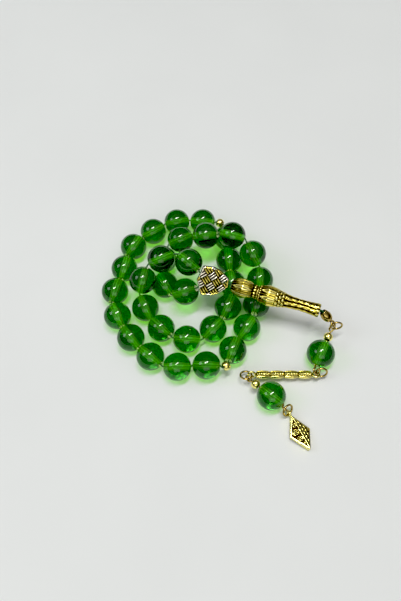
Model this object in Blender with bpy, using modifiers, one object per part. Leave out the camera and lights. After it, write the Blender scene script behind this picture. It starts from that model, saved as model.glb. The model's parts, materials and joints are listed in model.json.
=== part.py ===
"""A misbaha: 33 drilled glass beads on one thread, lying in two turns with its gilt tail laid out beside it.

The thread leaves the knot, runs through the imame and the meeting plate, carries every bead and both
dividers, and comes back through the plate and the imame to the same knot. The tail hangs from the
clamshell that holds the knot: jump rings, two eye pins with a bead each, a cast bar and a pendant.
"""

import math

import bmesh
import bpy
from mathutils import Matrix, Vector

MM = 0.001

# Driving dimensions.
BEAD_DIAMETER = 10 * MM
BORE_DIAMETER = 2.1 * MM
BEADS_PER_SECTION = 11
DIVIDER_DIAMETER = 3.4 * MM
DIVIDER_BORE = 2.0 * MM
THREAD_DIAMETER = 0.6 * MM
THREAD_PITCH = 0.9 * MM  # between the two strands where they run side by side
GAP = 0.3 * MM
WIRE_DIAMETER = 0.7 * MM
RING_RADIUS = 2.0 * MM  # of a jump ring, at the middle of its wire
EYE_RADIUS = 1.15 * MM  # of a loop on an eye pin, at the middle of its wire
BALL_DIAMETER = 3.3 * MM
BALL_GAP = 0.15 * MM
BAR_EYE_RADIUS = 1.2 * MM
BAR_EYE_WIRE = 0.8 * MM

PLATE_THICKNESS = 2.8 * MM
PLATE_TILT = math.radians(40)
PLATE_ROLL = math.radians(-6)
STRAND_BORE = 1.6 * MM
NECK_BORE = 2.1 * MM
IMAME_BORE = 2.3 * MM

# The middle of the object's footprint, in the same millimetres as the places below.
FOOTPRINT_CENTRE = (0.06, -0.04)


def at(x, y, z):
    """A place given in millimetres, as a vector in metres from the middle of the footprint."""
    return Vector((x - FOOTPRINT_CENTRE[0], y - FOOTPRINT_CENTRE[1], z)) * MM


# The thread's way through the beads: the inner turn, the outer turn, and the turn that climbs over them.
INNER_TURN = [
    at(-11, 17, 16), at(-21, 19, 15.5), at(-28, 12.5, 11.5), at(-27.5, 4.5, 5), at(-21.5, -4, 5),
    at(-12.5, -8.5, 5), at(-2.5, -4.5, 5), at(3, 4, 5.5), at(5, 14, 5), at(4, 24.5, 5), at(3.5, 34.5, 5),
]
OUTER_TURN = [
    at(1, 41, 6), at(-6, 42.5, 5), at(-16, 42.5, 5), at(-25.5, 38, 5), at(-33, 31, 5), at(-36, 21, 5),
    at(-39, 11, 5), at(-37.5, 1, 5), at(-32, -8, 5), at(-25, -15, 5), at(-15.5, -19, 5), at(-5, -18.5, 5),
]
UPPER_TURN = [
    at(1.5, -19.5, 6.2), at(4, -13.5, 5), at(9.5, -4.5, 5), at(13.5, 5, 5), at(15.5, 15, 5), at(13, 23, 11),
    at(5.5, 29.5, 14.5), at(-4, 31, 12.5), at(-14, 32, 9), at(-21, 24, 6.5), at(-20.5, 14, 5), at(-12.5, 8.5, 9.5),
]
FIRST_BEAD = 5.7 * MM  # from the plate's mouth to the centre of the first bead

PLATE_CENTRE = at(-3, 10.4, 14)
IMAME_START = at(4.2, 8.8, 14.1)
IMAME_END = at(35, -1, 12.9)
KNOT = at(37.7, -2.4, 11.3)
KNOT_DIAMETER = 1.9 * MM
CLAMSHELL_FOOT = at(40.2, -4.3, 9.3)
CLAMSHELL_MOUTH = 2.6 * MM  # from the knot's centre to where the thread enters

TAIL_BEAD_1 = at(35.7, -14.1, 5.1)
PIN_1_TOP = at(40.4, -4.8, 6.4)
PIN_1_FOOT = at(33.8, -20.3, 4.5)
TAIL_BEAD_2 = at(17.3, -29.7, 5.1)
PIN_2_TOP = at(9.8, -23.3, 4.4)
PIN_2_FOOT = at(21.6, -34.2, 4.9)

BAR_RIGHT = at(33.8, -21.1, 2.7)
BAR_LEFT = at(11.0, -21.4, 3.4)
BAR_SEGMENTS = 4
BAR_DIAMETER = 3.0 * MM

PENDANT_TOP = at(23.9, -35.9, 0)
PENDANT_BAIL = at(23.5, -35.0, 1.6)
PENDANT_HEADING = math.radians(-64)
PENDANT_LENGTH = 12.8 * MM
PENDANT_WIDTH = 8.1 * MM
PENDANT_THICKNESS = 2.6 * MM
PENDANT_RIM = 0.9 * MM

# Each jump ring lies between the centres of the two loops that it joins, over to the side given last.
RINGS = {
    "jump_ring_1": (CLAMSHELL_FOOT, PIN_1_TOP, Vector((1, 0, 0))),
    "jump_ring_2": (PIN_1_FOOT, BAR_RIGHT, Vector((1, 0, 0))),
    "jump_ring_3": (BAR_LEFT, PIN_2_TOP, Vector((-1, 0, 0))),
    "jump_ring_4": (PIN_2_FOOT, PENDANT_BAIL, Vector((0.6, 0.75, 0.2))),
}

SPHERE_STEPS = 12
SPHERE_BANDS = 6
ROUND_STEPS = 16

GLASS = ("emerald_glass", (0.0, 0.18, 0.03, 1), 0.0, 0.05)
GILT = ("bright_gilt", (0.83, 0.62, 0.14, 1), 1.0, 0.25)
PALE_GILT = ("pale_gilt", (0.80, 0.70, 0.42, 1), 1.0, 0.3)
OLD_GILT = ("olive_gilt", (0.36, 0.28, 0.08, 1), 1.0, 0.3)
SILK = ("green_silk", (0.03, 0.16, 0.05, 1), 0.0, 0.8)


def clear_scene():
    for obj in list(bpy.data.objects):
        bpy.data.objects.remove(obj, do_unlink=True)


def make_collection(name, hidden=False):
    collection = bpy.data.collections.new(name)
    bpy.context.scene.collection.children.link(collection)
    collection.hide_render = hidden
    return collection


def material(recipe):
    name, colour, metallic, roughness = recipe
    found = bpy.data.materials.get(name)
    if found:
        return found
    made = bpy.data.materials.new(name)
    made.use_nodes = True
    shader = made.node_tree.nodes["Principled BSDF"]
    shader.inputs["Base Color"].default_value = colour
    shader.inputs["Metallic"].default_value = metallic
    shader.inputs["Roughness"].default_value = roughness
    made.diffuse_color = colour
    return made


def place(name, data, recipe, matrix):
    """A named object in the misbaha's collection, with its own material."""
    obj = bpy.data.objects.new(name, data)
    obj.matrix_world = matrix
    if recipe and not data.materials:
        data.materials.append(material(recipe))
    MISBAHA.objects.link(obj)
    return obj


def facing(origin, direction, side=Vector((0, 0, 1))):
    """A matrix at origin with local Z along direction and local X as near to side as it can be."""
    z_axis = direction.normalized()
    y_axis = z_axis.cross(side)
    if y_axis.length < 1e-4:
        y_axis = z_axis.cross(Vector((1, 0, 0)))
    y_axis.normalize()
    x_axis = y_axis.cross(z_axis)
    turn = Matrix((x_axis, y_axis, z_axis)).transposed().to_4x4()
    return Matrix.Translation(origin) @ turn


def hang_on(obj, point):
    """Parents a piece to an empty at the link that it turns about, and leaves it where it is."""
    pivot = bpy.data.objects.new("pivot_" + obj.name, None)
    pivot.location = point
    pivot.empty_display_size = 2 * MM
    MISBAHA.objects.link(pivot)
    world = obj.matrix_world.copy()
    obj.parent = pivot
    obj.matrix_parent_inverse = Matrix.Identity(4)
    obj.matrix_basis = Matrix.Translation(-point) @ world


def smooth_path(points, samples=40):
    """Points along a Catmull-Rom curve through the given ones, kept a bead's radius above the surface."""
    before = 2 * points[0] - points[1]
    after = 2 * points[-1] - points[-2]
    way = [before, *points, after]
    path = []
    for a, b, c, d in zip(way, way[1:], way[2:], way[3:]):
        for step in range(samples):
            t = step / samples
            path.append(0.5 * (2 * b + (c - a) * t + (2 * a - 5 * b + 4 * c - d) * t**2
                               + (3 * b - a - 3 * c + d) * t**3))
    path.append(points[-1])
    for point in path:
        point.z = max(point.z, BEAD_DIAMETER / 2)
    return path


def walk(path, start, centre, distance):
    """The index and the place where the path first gets this far from centre."""
    for index in range(start, len(path)):
        reach = (path[index] - centre).length
        if reach >= distance:
            last = (path[index - 1] - centre).length
            return index, path[index - 1].lerp(path[index], (distance - last) / (reach - last))
    raise ValueError("the thread is too short for its beads")


def arc_profile(radius, bore_radius, bands):
    """A drilled ball's outline, from its top mouth down its outer side to its bottom mouth."""
    mouth = math.asin(bore_radius / radius)
    angles = [mouth + (math.pi - 2 * mouth) * band / bands for band in range(bands + 1)]
    return [(radius * math.sin(angle), radius * math.cos(angle)) for angle in angles]


def outline_mesh(name, profile, closed):
    mesh = bpy.data.meshes.new(name)
    edges = [(i, i + 1) for i in range(len(profile) - 1)]
    if closed:
        edges.append((len(profile) - 1, 0))
    mesh.from_pydata([(radius, 0, height) for radius, height in profile], edges, [])
    return mesh


def turned(name, profile, recipe, matrix, closed=True, steps=ROUND_STEPS):
    """A profile turned about local Z; a closed one has a bore along the axis."""
    obj = place(name, outline_mesh(name, profile, closed), recipe, matrix)
    screw = obj.modifiers.new("Turn", "SCREW")
    screw.steps = steps
    screw.render_steps = steps
    screw.use_smooth_shade = True
    screw.use_merge_vertices = True
    screw.merge_threshold = 0.00001
    return obj


def drilled_ball(name, diameter, bore, recipe, matrix, bands=SPHERE_BANDS):
    profile = arc_profile(diameter / 2, bore / 2, bands)
    return turned(name, profile, recipe, matrix, steps=SPHERE_STEPS)


def tube(name, points, diameter, recipe):
    curve = bpy.data.curves.new(name, "CURVE")
    curve.dimensions = "3D"
    curve.bevel_depth = diameter / 2
    curve.bevel_resolution = 2
    curve.use_fill_caps = True
    spline = curve.splines.new("POLY")
    spline.points.add(len(points) - 1)
    for slot, point in zip(spline.points, points):
        slot.co = (*point, 1)
    return place(name, curve, recipe, Matrix.Identity(4))


def as_mesh(obj):
    """Turns a curve object into a mesh object of the same name and place, with its caps welded."""
    bpy.context.view_layer.update()
    graph = bpy.context.evaluated_depsgraph_get()
    mesh = bpy.data.meshes.new_from_object(obj.evaluated_get(graph))
    weld = bmesh.new()
    weld.from_mesh(mesh)
    bmesh.ops.remove_doubles(weld, verts=weld.verts, dist=0.000001)
    bmesh.ops.recalc_face_normals(weld, faces=weld.faces)
    weld.to_mesh(mesh)
    weld.free()
    name, matrix = obj.name, obj.matrix_world.copy()
    bpy.data.objects.remove(obj, do_unlink=True)
    return place(name, mesh, None, matrix)


def as_cutter(obj):
    MISBAHA.objects.unlink(obj)
    CUTTERS.objects.link(obj)
    obj.hide_render = True
    obj.display_type = "WIRE"
    return obj


def boolean(obj, other, operation):
    modifier = obj.modifiers.new(operation.title(), "BOOLEAN")
    modifier.operation = operation
    modifier.object = as_cutter(other)


def rod(name, diameter, start, end, sides=12):
    """A straight round bar between two points."""
    mesh = bpy.data.meshes.new(name)
    shape = bmesh.new()
    bmesh.ops.create_cone(shape, cap_ends=True, segments=sides, radius1=diameter / 2, radius2=diameter / 2,
                          depth=(end - start).length)
    shape.to_mesh(mesh)
    shape.free()
    return place(name, mesh, GILT, facing((start + end) / 2, end - start))


def ring(name, radius, wire, recipe, matrix):
    """A closed ring in the plane of local X and Y."""
    bpy.ops.mesh.primitive_torus_add(major_radius=radius, minor_radius=wire / 2, major_segments=20,
                                     minor_segments=8)
    made = bpy.context.object
    mesh = made.data
    mesh.name = name
    bpy.data.objects.remove(made, do_unlink=True)
    mesh.shade_smooth()
    return place(name, mesh, recipe, matrix)


def ring_matrix(name):
    """Local X points to the side that the ring lies over to, and local Z is across the ring."""
    first, second, side = RINGS[name]
    along = (second - first).normalized()
    out = (side - along * side.dot(along)).normalized()
    rise = math.sqrt(RING_RADIUS**2 - (second - first).length_squared / 4)
    centre = (first + second) / 2 + out * rise
    return facing(centre, out.cross(along), out)


def loop_normal(name, loop, axis):
    """The direction across a loop that holds the ring, square to its own piece's axis."""
    matrix = ring_matrix(name)
    across = matrix.to_3x3() @ Vector((0, 0, 1))
    tangent = across.cross(loop - matrix.translation)
    return (tangent - axis * tangent.dot(axis) / axis.length_squared).normalized()


def plate_matrix():
    return (Matrix.Translation(PLATE_CENTRE) @ Matrix.Rotation(PLATE_TILT, 4, "X")
            @ Matrix.Rotation(PLATE_ROLL, 4, "Z"))


def on_plate(x, y):
    return plate_matrix() @ (Vector((x, y, 0)) * MM)


PLATE_TIP = (-5.4, 0)
PLATE_CORNER = (-3.5, 5.3)
PLATE_SHOULDER = [(0.4, 5.2), (3.3, 4.2), (5.1, 2.5)]
PLATE_NECK = (6.2, 1.6)
PLATE_MOUTH = (-4.75, 2.75)
PLATE_FORK = (1.6, 0)


def build_plate():
    """The plate where both ends of the strand meet: a pillow with two angled faces and a neck."""
    half = [PLATE_CORNER, *PLATE_SHOULDER, PLATE_NECK]
    outline = [PLATE_TIP, *half, *[(x, -y) for x, y in reversed(half)]]
    curve = bpy.data.curves.new("meeting_plate", "CURVE")
    curve.dimensions = "2D"
    curve.fill_mode = "BOTH"
    curve.extrude = PLATE_THICKNESS / 2
    spline = curve.splines.new("POLY")
    spline.points.add(len(outline) - 1)
    for slot, (x, y) in zip(spline.points, outline):
        slot.co = (x * MM, y * MM, 0, 1)
    spline.use_cyclic_u = True
    plate = as_mesh(place("meeting_plate", curve, PALE_GILT, plate_matrix()))
    bevel = plate.modifiers.new("Rim", "BEVEL")
    bevel.width = 0.8 * MM
    bevel.segments = 2
    bevel.limit_method = "ANGLE"
    bevel.angle_limit = math.radians(60)
    fork = on_plate(*PLATE_FORK)
    neck = on_plate(PLATE_NECK[0], 0)
    reach = (neck - fork) * 1.2
    boolean(plate, rod("neck_bore", NECK_BORE, fork, fork + reach), "DIFFERENCE")
    for side, sign in (("far", 1), ("near", -1)):
        mouth = on_plate(PLATE_MOUTH[0], sign * PLATE_MOUTH[1])
        inner = on_plate(PLATE_FORK[0] + 0.6, sign * THREAD_PITCH / 2 / MM)
        boolean(plate, rod(side + "_bore", STRAND_BORE, mouth + (mouth - inner) * 0.3, inner), "DIFFERENCE")
    return plate


IMAME_STATIONS = [
    (0, 2.0), (0.8, 2.6), (1.8, 3.25), (4.0, 3.7), (6.2, 3.35), (7.7, 2.65), (9.1, 2.5), (10.6, 3.0),
    (13.5, 3.8), (16.0, 3.55), (17.9, 3.1), (21.5, 2.4), (25.2, 2.15), (28.8, 2.3), (31.6, 2.55), (32.3, 2.45),
]


def build_imame():
    """The minaret bead: two bulbs with a beaded waist between them, and a long tapering stem."""
    length = (IMAME_END - IMAME_START).length
    scale = length / IMAME_STATIONS[-1][0]
    outer = [(radius * MM, length - station * scale) for station, radius in IMAME_STATIONS]
    bore = [(IMAME_BORE / 2, 0), (IMAME_BORE / 2, length)]
    return turned("imame", outer + bore, GILT, facing(IMAME_END, IMAME_START - IMAME_END), steps=14)


def eye_arc(centre, back, normal, radius=EYE_RADIUS, start=-130, end=150, points=11):
    """Points round a loop, from beside its neck; back points from its centre to the neck."""
    back = (back - normal * back.dot(normal)).normalized()
    side = normal.cross(back)
    angles = [math.radians(start + (end - start) * i / (points - 1) + 180) for i in range(points)]
    return [centre + radius * (back * math.cos(angle) + side * math.sin(angle)) for angle in angles]


def eye_pin(name, top, bead, foot, rings):
    """A wire with a loop at each end, straight where it passes through the ball and the bead."""
    axis = (top - bead).normalized()
    upper = eye_arc(top, -axis, loop_normal(rings[0], top, axis))
    lower = eye_arc(foot, axis, loop_normal(rings[1], foot, axis))
    straight_top = bead + axis * (BEAD_DIAMETER / 2 + BALL_DIAMETER + 2 * BALL_GAP)
    straight_foot = bead - axis * (BEAD_DIAMETER / 2 + BALL_GAP)
    points = list(reversed(upper)) + [straight_top, straight_foot] + lower
    return tube(name, points, WIRE_DIAMETER, OLD_GILT)


def build_clamshell():
    """The cup that closes over the knot, with the hook that carries the tail."""
    axis = (CLAMSHELL_FOOT - KNOT).normalized()
    outer = [(1.2, 2.3), (1.55, 1.6), (1.8, 0.6), (1.8, -0.4), (1.45, -1.5), (0.8, -2.2), (0, -2.4)]
    inner = [(0, -1.4), (0.9, -1.1), (1.3, -0.3), (1.3, 0.6), (1.05, 1.5), (1.0, 2.3)]
    profile = [(radius * MM, height * MM) for radius, height in outer + inner]
    shell = turned("clamshell", profile, OLD_GILT, facing(KNOT, -axis), steps=12)
    hook = ring("clamshell_hook", EYE_RADIUS, WIRE_DIAMETER, OLD_GILT,
                facing(CLAMSHELL_FOOT, loop_normal("jump_ring_1", CLAMSHELL_FOOT, axis)))
    boolean(shell, hook, "UNION")
    return shell


def bar_profile(length):
    """Four scalloped segments, thick in the middle of each, with the ends drawn in to the eyes."""
    profile = [(0, length / 2), (0.6 * MM, length / 2)]
    per_segment = 4
    for step in range(BAR_SEGMENTS * per_segment + 1):
        wave = 0.78 + 0.22 * math.sin(math.pi * (step % per_segment) / per_segment)
        height = length / 2 - 0.4 * MM - (length - 0.8 * MM) * step / (BAR_SEGMENTS * per_segment)
        profile.append((BAR_DIAMETER / 2 * wave, height))
    profile += [(0.6 * MM, -length / 2), (0, -length / 2)]
    return profile


def build_bar():
    axis = (BAR_RIGHT - BAR_LEFT).normalized()
    reach = BAR_EYE_RADIUS + BAR_EYE_WIRE / 2 - 0.15 * MM
    length = (BAR_RIGHT - BAR_LEFT).length - 2 * reach
    bar = turned("bar_link", bar_profile(length), GILT, facing((BAR_RIGHT + BAR_LEFT) / 2, axis),
                 closed=False, steps=12)
    for link, centre in (("jump_ring_2", BAR_RIGHT), ("jump_ring_3", BAR_LEFT)):
        eye = ring("eye_for_" + link, BAR_EYE_RADIUS, BAR_EYE_WIRE, GILT,
                   facing(centre, loop_normal(link, centre, axis)))
        boolean(bar, eye, "UNION")
    return bar


def pendant_matrix():
    """Local X runs down the pendant and local Z is its face; it leans back on one of its facets."""
    lean = math.atan((PENDANT_THICKNESS - PENDANT_RIM) / PENDANT_WIDTH)
    turn = Matrix.Rotation(PENDANT_HEADING, 4, "Z") @ Matrix.Rotation(-lean, 4, "X")
    centre = PENDANT_TOP + turn.to_3x3() @ Vector((PENDANT_LENGTH / 2, 0, 0))
    centre.z = PENDANT_THICKNESS / 2 * math.cos(lean)
    return Matrix.Translation(centre) @ turn


def build_pendant():
    """A rhombus with a ridge down each face, and a bail turned across it."""
    length, width = PENDANT_LENGTH / 2, PENDANT_WIDTH / 2
    curve = bpy.data.curves.new("pendant", "CURVE")
    curve.dimensions = "2D"
    curve.fill_mode = "BOTH"
    curve.extrude = PENDANT_THICKNESS
    spline = curve.splines.new("POLY")
    corners = [(length, 0), (0, width), (-length, 0), (0, -width)]
    spline.points.add(len(corners) - 1)
    for slot, (x, y) in zip(spline.points, corners):
        slot.co = (x, y, 0, 1)
    spline.use_cyclic_u = True
    pendant = as_mesh(place("pendant", curve, GILT, pendant_matrix()))
    ridge_half = width * PENDANT_THICKNESS / (PENDANT_THICKNESS - PENDANT_RIM)
    mesh = bpy.data.meshes.new("pendant_ridges")
    shape = bmesh.new()
    bmesh.ops.create_cone(shape, cap_ends=True, segments=4, radius1=1, radius2=1, depth=3 * PENDANT_LENGTH)
    quarter = Matrix.Rotation(math.radians(90), 4, "Y")
    size = Matrix.Diagonal((1, ridge_half, PENDANT_THICKNESS / 2, 1))
    bmesh.ops.transform(shape, matrix=size @ quarter, verts=shape.verts)
    shape.to_mesh(mesh)
    shape.free()
    boolean(pendant, place("pendant_ridges", mesh, GILT, pendant_matrix()), "INTERSECT")
    down = pendant_matrix().to_3x3() @ Vector((1, 0, 0))
    loop = ring("pendant_bail", EYE_RADIUS, WIRE_DIAMETER, GILT,
                facing(PENDANT_BAIL, loop_normal("jump_ring_4", PENDANT_BAIL, down)))
    boolean(pendant, loop, "UNION")
    return pendant


def bore_axes(centres, halves, start, end, rounds=25):
    """Each bore's direction, turned until the mouths that face each other nearly meet."""
    meets = [start, *[(a + b) / 2 for a, b in zip(centres, centres[1:])], end]
    for _ in range(rounds):
        axes = [(b - a).normalized() for a, b in zip(meets, meets[1:])]
        ends = [(c - axis * half, c + axis * half) for c, axis, half in zip(centres, axes, halves)]
        meets = [start, *[(a[1] + b[0]) / 2 for a, b in zip(ends, ends[1:])], end]
    return axes


def thread_strand():
    """Beads and dividers along the thread, with the two mouths of each bore."""
    mouth = on_plate(*PLATE_MOUTH)
    last_mouth = on_plate(PLATE_MOUTH[0], -PLATE_MOUTH[1])
    path = smooth_path([mouth, *INNER_TURN, *OUTER_TURN, *UPPER_TURN, last_mouth])
    kinds = []
    for section in range(3):
        kinds += [("bead_%02d" % (section * BEADS_PER_SECTION + i + 1), BEAD_DIAMETER, BORE_DIAMETER, GLASS)
                  for i in range(BEADS_PER_SECTION)]
        if section < 2:
            kinds.append(("divider_%d" % (section + 1), DIVIDER_DIAMETER, DIVIDER_BORE, GILT))
    index, centre = walk(path, 1, mouth, FIRST_BEAD)
    centres = [centre]
    for before, after in zip(kinds, kinds[1:]):
        index, centre = walk(path, index, centre, (before[1] + after[1]) / 2 + GAP)
        centres.append(centre)
    halves = [math.sqrt(diameter**2 - bore**2) / 2 + 0.1 * MM for _, diameter, bore, _ in kinds]
    thread = [mouth]
    for kind, centre, half, axis in zip(kinds, centres, halves, bore_axes(centres, halves, mouth, last_mouth)):
        name, diameter, bore, recipe = kind
        drilled_ball(name, diameter, bore, recipe, facing(centre, axis),
                     bands=SPHERE_BANDS if recipe is GLASS else 4)
        thread += [centre - axis * half, centre + axis * half]
    thread.append(last_mouth)
    return thread


def build_thread(strand):
    """The thread in one piece, both ends side by side from the knot to the plate."""
    hang = (CLAMSHELL_FOOT - KNOT).normalized()
    drop = Vector((0, 0, 0.5)) * THREAD_PITCH
    across = (on_plate(0, 1) - on_plate(0, 0)).normalized() * THREAD_PITCH / 2
    fork = on_plate(PLATE_FORK[0] + 0.6, 0)
    neck = on_plate(PLATE_NECK[0], 0)
    ways = []
    for sign in (1, -1):
        knot_face = KNOT - hang * (KNOT_DIAMETER / 2 + 2 * GAP)
        ways.append([knot_face + sign * drop, KNOT - hang * CLAMSHELL_MOUTH + sign * drop,
                     IMAME_END + sign * drop, IMAME_START + sign * drop, neck + sign * across,
                     fork + sign * across])
    return tube("thread", ways[0] + strand + list(reversed(ways[1])), THREAD_DIAMETER, SILK)


def build_knot():
    mesh = bpy.data.meshes.new("knot")
    shape = bmesh.new()
    bmesh.ops.create_uvsphere(shape, u_segments=10, v_segments=6, radius=KNOT_DIAMETER / 2)
    shape.to_mesh(mesh)
    shape.free()
    return place("knot", mesh, SILK, Matrix.Translation(KNOT))


def build_pin(number, bead, top, foot, rings):
    """An eye pin with a gilt ball and a glass bead that turn on it."""
    axis = (top - bead).normalized()
    ball = bead + axis * (BEAD_DIAMETER / 2 + BALL_DIAMETER / 2 + BALL_GAP)
    hang_on(eye_pin("eye_pin_%d" % number, top, bead, foot, rings), top)
    drilled_ball("gold_ball_%d" % number, BALL_DIAMETER, DIVIDER_BORE, GILT, facing(ball, axis), bands=4)
    drilled_ball("tail_bead_%d" % number, BEAD_DIAMETER, BORE_DIAMETER, GLASS, facing(bead, axis))


def build_tail():
    """From the clamshell down, each piece turns about the link that it hangs from."""
    build_clamshell()
    for name, (loop, _, _) in RINGS.items():
        hang_on(ring(name, RING_RADIUS, WIRE_DIAMETER, OLD_GILT, ring_matrix(name)), loop)
    build_pin(1, TAIL_BEAD_1, PIN_1_TOP, PIN_1_FOOT, ("jump_ring_1", "jump_ring_2"))
    hang_on(build_bar(), BAR_RIGHT)
    build_pin(2, TAIL_BEAD_2, PIN_2_TOP, PIN_2_FOOT, ("jump_ring_3", "jump_ring_4"))
    hang_on(build_pendant(), PENDANT_BAIL)


clear_scene()
MISBAHA = make_collection("misbaha")
CUTTERS = make_collection("cutters", hidden=True)
build_plate()
build_imame()
strand = thread_strand()
build_thread(strand)
build_knot()
build_tail()
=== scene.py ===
"""The misbaha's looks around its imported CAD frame: glass, gilt relief, twisted thread, floor and light."""

import json
import math

import bpy
import numpy as np
from mathutils import Matrix, Vector


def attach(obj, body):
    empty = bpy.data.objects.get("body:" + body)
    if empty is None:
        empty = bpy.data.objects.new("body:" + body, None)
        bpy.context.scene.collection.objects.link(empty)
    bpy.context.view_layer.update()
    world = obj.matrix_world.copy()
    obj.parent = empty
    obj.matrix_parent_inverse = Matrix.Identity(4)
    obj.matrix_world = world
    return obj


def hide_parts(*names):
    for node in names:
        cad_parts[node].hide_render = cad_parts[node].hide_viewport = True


MM = 0.001
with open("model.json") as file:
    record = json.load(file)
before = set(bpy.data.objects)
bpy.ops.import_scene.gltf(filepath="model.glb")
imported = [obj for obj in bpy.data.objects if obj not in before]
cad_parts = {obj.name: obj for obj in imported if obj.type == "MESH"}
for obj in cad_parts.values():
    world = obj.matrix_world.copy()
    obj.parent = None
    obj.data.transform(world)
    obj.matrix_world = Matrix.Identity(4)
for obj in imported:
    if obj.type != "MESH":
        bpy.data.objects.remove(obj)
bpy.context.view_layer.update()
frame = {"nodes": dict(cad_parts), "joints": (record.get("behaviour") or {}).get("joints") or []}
JOINTS = {joint["child"]: joint for joint in frame["joints"]}
ROOT = "thread_and_plate"
scene = bpy.context.scene
scene.view_settings.view_transform = "Standard"

# The contrast of a small camera: the deepest shade goes to black, and a bright floor nearly to white.
BLACK_LEVEL = 0.012
WHITE_LEVEL = 0.84
scene.view_settings.use_curve_mapping = True
scene.view_settings.curve_mapping.black_level = (BLACK_LEVEL,) * 3
scene.view_settings.curve_mapping.white_level = (WHITE_LEVEL,) * 3
scene.view_settings.curve_mapping.update()

# Sizes, as the CAD frame has them.
BEAD_RADIUS = 5 * MM
BORE_RADIUS = 1.05 * MM
DIVIDER_RADIUS = 1.7 * MM
BALL_RADIUS = 1.65 * MM
DIVIDER_BORE_RADIUS = 1.0 * MM
BALL_GAP = 0.15 * MM
THREAD_RADIUS = 0.3 * MM
THREAD_PITCH = 0.9 * MM
WIRE_RADIUS = 0.35 * MM
RING_RADIUS = 2.0 * MM
EYE_RADIUS = 1.15 * MM
KNOT_RADIUS = 0.95 * MM
CLAMSHELL_MOUTH = 2.6 * MM
BAR_EYE_RADIUS = 1.2 * MM
BAR_EYE_WIRE = 0.4 * MM
BAR_RADIUS = 1.5 * MM
IMAME_LENGTH = 32.3 * MM
IMAME_BORE = 1.15 * MM
PENDANT_LENGTH = 12.8 * MM
PENDANT_WIDTH = 8.1 * MM
PENDANT_THICKNESS = 2.6 * MM
PENDANT_RIM = 0.9 * MM
PLATE_HALF_THICKNESS = 1.4 * MM


def link_point(child):
    """Where a body turns on its parent."""
    return Vector(JOINTS[child]["pos_m"])


# Places: every link of the tail turns about the point where it hangs from the one before it.
KNOT = link_point("clamshell")
CLAMSHELL_FOOT = link_point("jump_ring_1")
PIN_1_TOP = link_point("eye_pin_1")
PIN_1_FOOT = link_point("jump_ring_2")
BAR_RIGHT = link_point("bar_link")
BAR_LEFT = link_point("jump_ring_3")
PIN_2_TOP = link_point("eye_pin_2")
PIN_2_FOOT = link_point("jump_ring_4")
PENDANT_BAIL = link_point("pendant")
IMAME_END = link_point("imame")
IMAME_START = IMAME_END + Vector(JOINTS["imame"]["axis"]) * IMAME_LENGTH
PENDANT_TOP = Vector((23.84, -35.86, 0)) * MM
PENDANT_HEADING = math.radians(-64)
PLATE_MATRIX = (Matrix.Translation(Vector((-3.06, 10.44, 14.0)) * MM)
                @ Matrix.Rotation(math.radians(40), 4, "X") @ Matrix.Rotation(math.radians(-6), 4, "Z"))

# Each jump ring lies between two loops, over to the side given last.
RINGS = {
    "jump_ring_1": (CLAMSHELL_FOOT, PIN_1_TOP, Vector((1, 0, 0))),
    "jump_ring_2": (PIN_1_FOOT, BAR_RIGHT, Vector((1, 0, 0))),
    "jump_ring_3": (BAR_LEFT, PIN_2_TOP, Vector((-1, 0, 0))),
    "jump_ring_4": (PIN_2_FOOT, PENDANT_BAIL, Vector((0.6, 0.75, 0.2))),
}

# ---------------------------------------------------------------- camera, floor and light
CAMERA_AT = Vector((-0.00706, -0.09274, 0.1988))
CAMERA_AIM = Vector((-0.00706, 0.00974, 0.0))
FOCAL_PIXELS = 586.39
PICTURE_HEIGHT = 601
SENSOR = 36.0


def make_camera():
    """The photograph's camera, fitted to the beads that rest on the floor."""
    data = bpy.data.cameras.new("camera")
    data.sensor_fit = "VERTICAL"
    data.sensor_height = SENSOR
    data.lens = FOCAL_PIXELS / PICTURE_HEIGHT * SENSOR
    data.clip_start, data.clip_end = 0.01, 20
    camera = bpy.data.objects.new("camera", data)
    camera.matrix_world = (Matrix.Translation(CAMERA_AT)
                           @ (CAMERA_AIM - CAMERA_AT).to_track_quat("-Z", "Y").to_matrix().to_4x4())
    scene.collection.objects.link(camera)
    scene.camera = camera


def new_material(name):
    """A material with its nodes, links and Principled shader."""
    made = bpy.data.materials.new(name)
    made.use_nodes = True
    return made, made.node_tree.nodes, made.node_tree.links, made.node_tree.nodes["Principled BSDF"]


def noise(nodes, links, scale, detail):
    """A noise texture over the piece's own coordinates, in features per metre."""
    place = nodes.new("ShaderNodeTexCoord")
    texture = nodes.new("ShaderNodeTexNoise")
    texture.inputs["Scale"].default_value = scale
    texture.inputs["Detail"].default_value = detail
    links.new(place.outputs["Object"], texture.inputs["Vector"])
    return texture.outputs["Fac"]


def ramp(nodes, links, factor, stops):
    """Colours along a factor, as (position, colour) stops."""
    node = nodes.new("ShaderNodeValToRGB")
    elements = node.color_ramp.elements
    while len(elements) < len(stops):
        elements.new(0.5)
    for element, (position, colour) in zip(elements, stops):
        element.position = position
        element.color = (*colour, 1)
    links.new(factor, node.inputs["Fac"])
    return node.outputs["Color"]


def spread(nodes, links, factor, low, high):
    """A factor from 0 to 1 mapped to a range of values."""
    node = nodes.new("ShaderNodeMapRange")
    node.inputs["To Min"].default_value = low
    node.inputs["To Max"].default_value = high
    links.new(factor, node.inputs["Value"])
    return node.outputs["Result"]


def mixed_colours(nodes, links, attribute, first, second):
    """The first colour where a vertex attribute is 0, and the second where it is 1."""
    share = nodes.new("ShaderNodeAttribute")
    share.attribute_name = attribute
    mix = nodes.new("ShaderNodeMix")
    mix.data_type = "RGBA"
    links.new(share.outputs["Fac"], mix.inputs["Factor"])
    links.new(first, mix.inputs["A"])
    links.new(second, mix.inputs["B"])
    return mix.outputs["Result"]


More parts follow.
